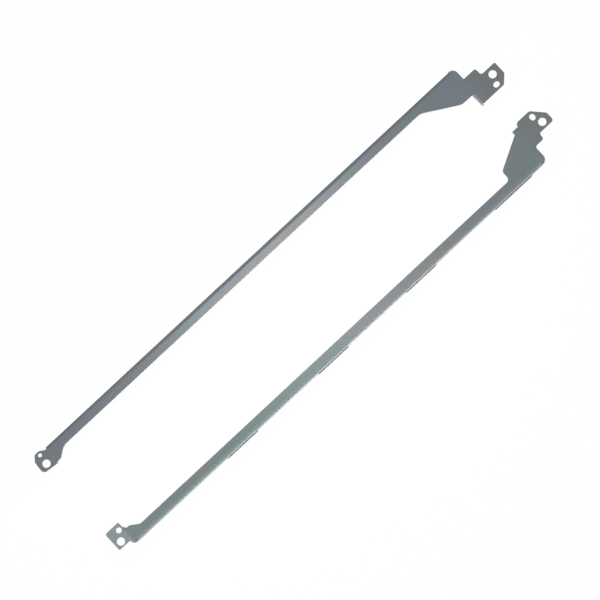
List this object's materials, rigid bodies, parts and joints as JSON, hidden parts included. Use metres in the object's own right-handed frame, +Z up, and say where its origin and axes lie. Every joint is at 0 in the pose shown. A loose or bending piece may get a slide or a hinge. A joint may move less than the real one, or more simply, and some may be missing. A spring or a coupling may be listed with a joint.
{
  "type": "laptop screen rail pair",
  "caption": "Left and right folded sheet steel rails for the sides of a laptop screen: long narrow face, flange with screw tabs, stepped foot ear, wide hinge plate.",
  "frame": {"origin": "middle of the pair's box, on the surface that the rails lie on", "axes": "+X along the rails from the feet to the hinge plates, +Y from the right rail to the left one, +Z up from the surface to the rails' faces"},
  "size_m": [0.2112, 0.0462, 0.0052],
  "materials": {
    "zinc_steel": "zinc-plated sheet steel, satin"
  },
  "bodies": {
    "root": {"left_rail": "zinc_steel", "right_rail": "zinc_steel"}
  },
  "joints": []
}
